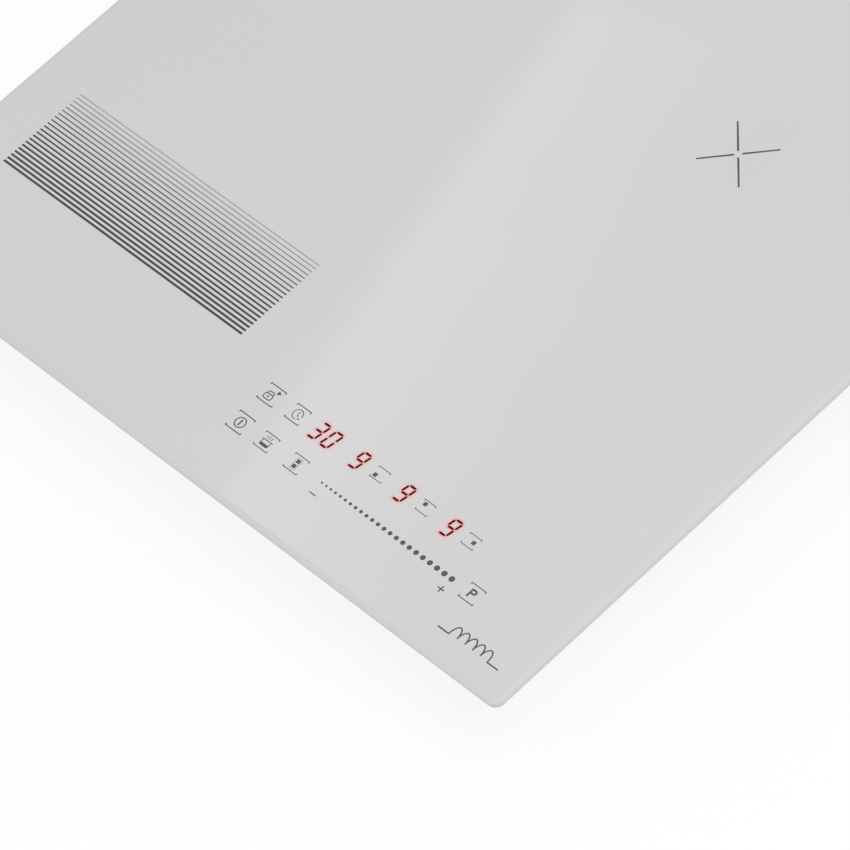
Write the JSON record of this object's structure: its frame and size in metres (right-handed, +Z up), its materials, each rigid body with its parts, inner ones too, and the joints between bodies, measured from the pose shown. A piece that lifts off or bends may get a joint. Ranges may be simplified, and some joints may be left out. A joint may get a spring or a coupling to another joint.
{
  "type": "induction cooktop",
  "caption": "Built-in induction cooktop: pale glass top with slider touch control, a long left zone and a round right zone, over a stepped steel tray with blowers and swing-out clamps",
  "frame": {"origin": "centre of the underside, on the plane the tray stands on", "axes": "+X to the user's right, +Y to the back, +Z up out of the glass"},
  "size_m": [0.45, 0.52, 0.058],
  "materials": {
    "white_glass": "gloss",
    "seal_foam": "matte",
    "bond_silicone": "matte",
    "frame_aluminium": "brushed",
    "tray_steel": "satin",
    "zinc_screws": "satin",
    "former_plastic": "matte",
    "litz_copper": "satin",
    "ferrite": "matte",
    "mica": "matte",
    "sensor_body": "matte",
    "bush_silicone": "matte",
    "plate_aluminium": "brushed",
    "fan_plastic": "satin",
    "board_laminate": "satin",
    "heatsink_aluminium": "satin",
    "device_resin": "matte",
    "capacitor_case": "gloss",
    "choke_enamel": "satin",
    "nylon": "matte",
    "control_plastic": "matte",
    "pad_foam": "matte",
    "display_block": "gloss",
    "ribbon_film": "satin",
    "coil_sleeve": "matte",
    "mains_sleeve": "satin",
    "terminal_plastic": "matte",
    "block_plastic": "satin",
    "grommet_rubber": "matte",
    "clamp_steel": "satin",
    "print_ink": "satin",
    "digit_light": "gloss",
    "digit_glow": "gloss"
  },
  "bodies": {
    "hob": {"glass_top": "white_glass", "rim_seal": "seal_foam", "bond_strip": "bond_silicone", "carrier_frame": "frame_aluminium", "base_tray": "tray_steel", "rim_screws": "zinc_screws", "coil_bushes": "bush_silicone", "coil_leads": "coil_sleeve", "coil_plate": "plate_aluminium", "fan_screws": "zinc_screws", "left_inverter_board": "board_laminate", "right_inverter_board": "board_laminate", "filter_board": "board_laminate", "board_standoffs": "nylon", "board_screws": "zinc_screws", "filter_choke": "choke_enamel", "filter_capacitors": "capacitor_case", "touch_board": "board_laminate", "control_carrier": "control_plastic", "touch_pads": "pad_foam", "digit_displays": "display_block", "control_ribbon": "ribbon_film", "terminal_box": "terminal_plastic", "terminal_block": "block_plastic", "cable_grommet": "grommet_rubber", "mains_leads": "mains_sleeve", "clamp_screws": "zinc_screws", "clamp_nuts": "zinc_screws", "front_left_coil_former": "former_plastic", "front_left_coil_winding": "litz_copper", "front_left_coil_ferrites": "ferrite", "front_left_coil_insulation": "mica", "front_left_coil_sensor": "sensor_body", "rear_left_coil_former": "former_plastic", "rear_left_coil_winding": "litz_copper", "rear_left_coil_ferrites": "ferrite", "rear_left_coil_insulation": "mica", "rear_left_coil_sensor": "sensor_body", "right_coil_former": "former_plastic", "right_coil_winding": "litz_copper", "right_coil_ferrites": "ferrite", "right_coil_insulation": "mica", "right_coil_sensor": "sensor_body", "left_fan_housing": "fan_plastic", "left_fan_cover": "fan_plastic", "left_heatsink": "heatsink_aluminium", "left_transistors": "device_resin", "left_capacitors": "capacitor_case", "right_fan_housing": "fan_plastic", "right_fan_cover": "fan_plastic", "right_heatsink": "heatsink_aluminium", "right_transistors": "device_resin", "right_capacitors": "capacitor_case"},
    "left_impeller": {"left_fan_impeller": "fan_plastic"},
    "right_impeller": {"right_fan_impeller": "fan_plastic"},
    "cover": {"terminal_cover": "terminal_plastic"},
    "front_left_swing": {"front_left_clamp": "clamp_steel"},
    "front_right_swing": {"front_right_clamp": "clamp_steel"},
    "rear_left_swing": {"rear_left_clamp": "clamp_steel"},
    "rear_right_swing": {"rear_right_clamp": "clamp_steel"}
  },
  "joints": [
    {"name": "left_fan_spin", "type": "hinge", "parent": "hob", "child": "left_impeller", "pos_m": [-0.08, -0.129, 0.0145], "axis": [0, 0, 1], "continuous": true},
    {"name": "right_fan_spin", "type": "hinge", "parent": "hob", "child": "right_impeller", "pos_m": [0.08, -0.129, 0.0145], "axis": [0, 0, 1], "continuous": true},
    {"name": "cover_hinge", "type": "hinge", "parent": "hob", "child": "cover", "pos_m": [0.06, 0.2402, 0.0165], "axis": [1, 0, 0], "range_deg": [0, 90]},
    {"name": "front_left_clamp_turn", "type": "hinge", "parent": "hob", "child": "front_left_swing", "pos_m": [-0.182, -0.15, 0.0185], "axis": [0, 0, 1], "range_deg": [0, 90]},
    {"name": "front_right_clamp_turn", "type": "hinge", "parent": "hob", "child": "front_right_swing", "pos_m": [0.182, -0.15, 0.0185], "axis": [0, 0, -1], "range_deg": [0, 90]},
    {"name": "rear_left_clamp_turn", "type": "hinge", "parent": "hob", "child": "rear_left_swing", "pos_m": [-0.182, 0.15, 0.0185], "axis": [0, 0, -1], "range_deg": [0, 90]},
    {"name": "rear_right_clamp_turn", "type": "hinge", "parent": "hob", "child": "rear_right_swing", "pos_m": [0.182, 0.15, 0.0185], "axis": [0, 0, 1], "range_deg": [0, 90]}
  ]
}
